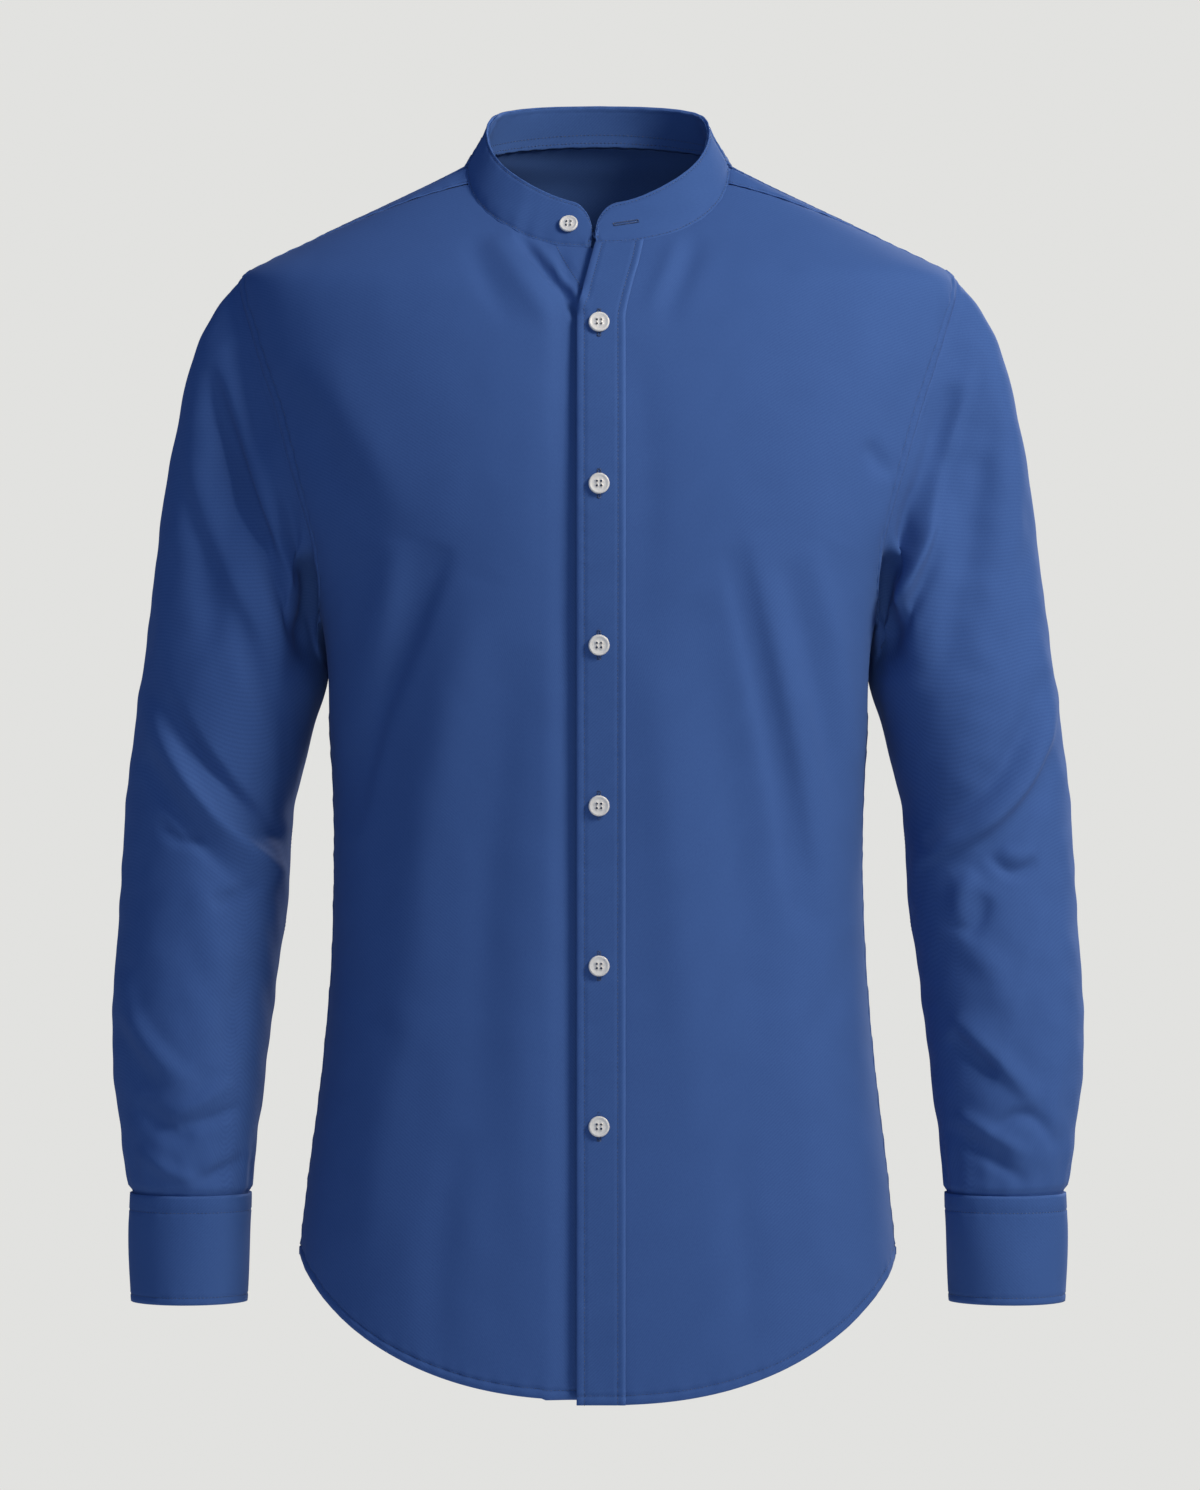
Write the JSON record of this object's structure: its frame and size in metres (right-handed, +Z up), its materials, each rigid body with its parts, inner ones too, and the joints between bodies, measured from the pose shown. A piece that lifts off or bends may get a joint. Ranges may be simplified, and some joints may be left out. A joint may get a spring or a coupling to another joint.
{
  "type": "mandarin collar shirt",
  "caption": "long-sleeved blue cotton twill shirt with a mandarin collar, buttoned and filled out as worn, its collar open",
  "frame": {"origin": "Midway between the two points where the collar seam crosses the top of the shoulders. A wearer's or a hanger's shoulders hold the shirt up there.", "axes": "+Z is up, from the hem to the collar. The front of the shirt faces -Y. +X runs to the wearer's left."},
  "size_m": [0.6128, 0.2451, 0.811],
  "materials": {
    "twill": "soft matt cotton twill, mid blue",
    "twill_strip": "interlined cotton twill in two layers, mid blue",
    "button_resin": "off-white resin with a satin gloss"
  },
  "bodies": {
    "root": {"back": "twill", "yoke": "twill", "front_right": "twill", "front_left": "twill", "placket": "twill_strip", "button_stand": "twill_strip", "sleeve_right": "twill", "sleeve_left": "twill", "cuff_right": "twill_strip", "cuff_left": "twill_strip", "sleeve_placket_right": "twill_strip", "sleeve_placket_left": "twill_strip", "collar_band": "twill_strip", "button_front_1": "button_resin", "button_front_2": "button_resin", "button_front_3": "button_resin", "button_front_4": "button_resin", "button_front_5": "button_resin", "button_front_6": "button_resin", "button_collar": "button_resin", "button_cuff_right": "button_resin", "button_cuff_left": "button_resin"}
  },
  "joints": []
}
